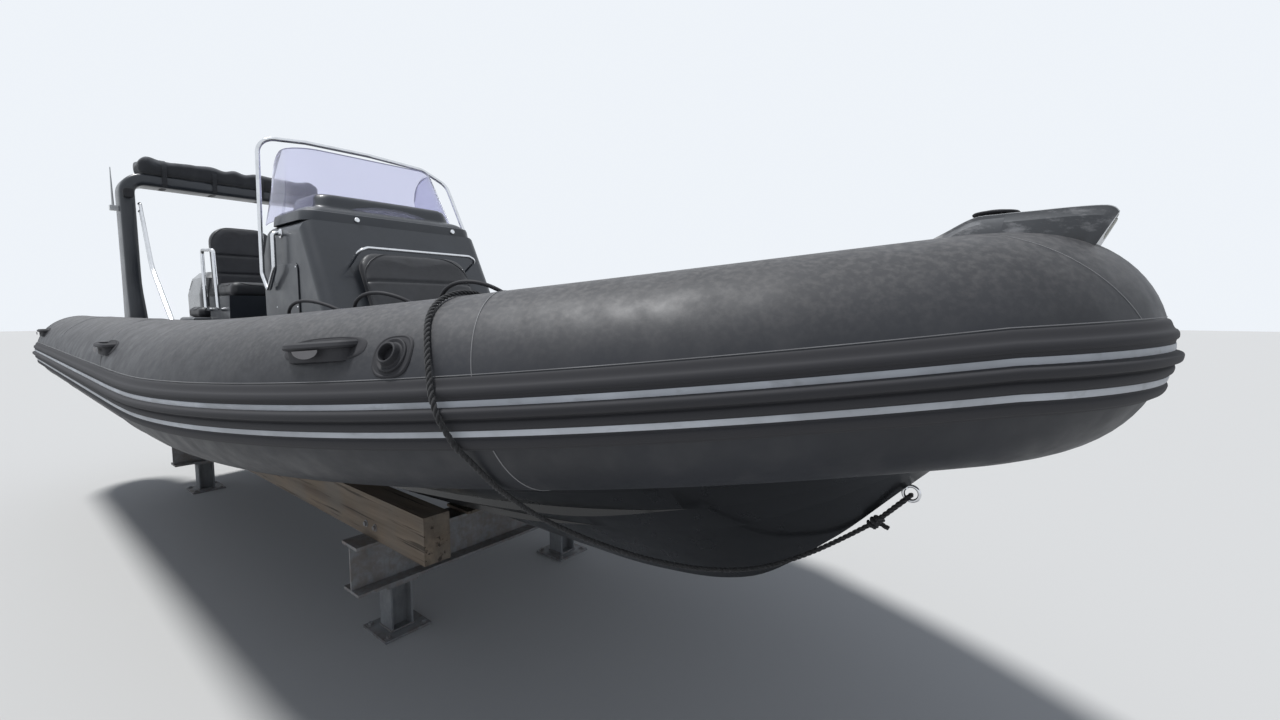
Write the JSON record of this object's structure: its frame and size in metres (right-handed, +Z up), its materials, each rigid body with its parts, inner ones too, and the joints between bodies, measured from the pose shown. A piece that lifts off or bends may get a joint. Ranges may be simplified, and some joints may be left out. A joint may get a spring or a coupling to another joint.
{
  "type": "rigid inflatable boat on a yard cradle",
  "caption": "Rigid inflatable boat with deep-V hull, side console, screen, arch and outboard engine, standing on a steel and timber cradle.",
  "frame": {"origin": "on the floor under the middle of the boat and its cradle", "axes": "+X forward to the bow, +Y to port, +Z up"},
  "size_m": [7.3712, 2.7098, 2.845],
  "materials": {
    "tube_fabric": "coated fabric, satin charcoal",
    "strake_rubber": "moulded rubber, satin",
    "stripe": "pale grey rubber inlay",
    "hull_black": "gloss black gelcoat",
    "moulding_black": "satin black gelcoat",
    "deck_grey": "diamond non-slip",
    "vinyl": "black marine vinyl",
    "stainless": "polished stainless",
    "screen": "lilac tinted",
    "awning_fabric": "dark acrylic canvas",
    "engine_paint": "gloss black paint",
    "propeller_steel": "stainless",
    "black_plastic": "moulded plastic",
    "aerial_white": "white",
    "cradle_steel": "weathered grey paint over steel",
    "timber": "weathered softwood baulk"
  },
  "bodies": {
    "boat": {"aft_bench": "moulding_black", "aft_cushion": "vinyl", "anchor_roller": "black_plastic", "arch": "moulding_black", "arch_braces": "stainless", "awning_boot": "awning_fabric", "bow_eye": "stainless", "bow_locker": "moulding_black", "bow_nose": "moulding_black", "console_body": "moulding_black", "console_hood": "moulding_black", "cradle_beams": "cradle_steel", "cradle_posts": "cradle_steel", "cradle_timbers": "timber", "deck": "deck_grey", "engine_bracket": "engine_paint", "front_seat_back": "vinyl", "front_seat_base": "moulding_black", "front_seat_cushion": "vinyl", "front_seat_rail": "stainless", "helm_backs": "vinyl", "helm_boss": "black_plastic", "helm_cushions": "vinyl", "helm_panel": "black_plastic", "helm_pod": "moulding_black", "helm_rails": "stainless", "hull": "hull_black", "keel_blocks": "timber", "pedestals": "moulding_black", "rub_strake": "strake_rubber", "screen_rail": "stainless", "side_lamp": "black_plastic", "stern_eyes": "stainless", "stripe_lower": "stripe", "stripe_upper": "stripe", "throttle": "black_plastic", "transom": "hull_black", "tube_bow": "tube_fabric", "tube_handles": "black_plastic", "tube_port": "tube_fabric", "tube_starboard": "tube_fabric", "whip_aerial": "aerial_white", "windlass": "black_plastic", "windscreen": "screen"},
    "tilt_unit": {"engine_swivel": "engine_paint"},
    "engine_head": {"engine_leg": "engine_paint", "engine_cowl": "engine_paint"},
    "propeller": {"propeller": "propeller_steel"},
    "steering_wheel": {"steering_wheel": "black_plastic"},
    "bow_lid": {"bow_lid": "moulding_black", "bow_cushion": "vinyl"}
  },
  "joints": [
    {"name": "engine_tilt", "type": "hinge", "parent": "boat", "child": "tilt_unit", "pos_m": [-3.0651, 0, 1.165], "axis": [0, 1, 0], "range_deg": [0, 65]},
    {"name": "engine_steer", "type": "hinge", "parent": "tilt_unit", "child": "engine_head", "pos_m": [-3.2251, 0, 0.9], "axis": [0, 0, 1], "range_deg": [-30, 30]},
    {"name": "propeller_spin", "type": "hinge", "parent": "engine_head", "child": "propeller", "pos_m": [-3.6211, 0, 0.345], "axis": [1, 0, 0], "continuous": true},
    {"name": "wheel_turn", "type": "hinge", "parent": "boat", "child": "steering_wheel", "pos_m": [-0.40458, -0.19, 1.95475], "axis": [-0.8654, 0, 0.501], "range_deg": [-480, 480]},
    {"name": "bow_lid_hinge", "type": "hinge", "parent": "boat", "child": "bow_lid", "pos_m": [1.8949, 0, 1.3003], "axis": [0, -1, 0], "range_deg": [0, 95]}
  ],
  "couplings": [
    {"joint": "wheel_turn", "follows": "engine_steer", "ratio": 16}
  ]
}
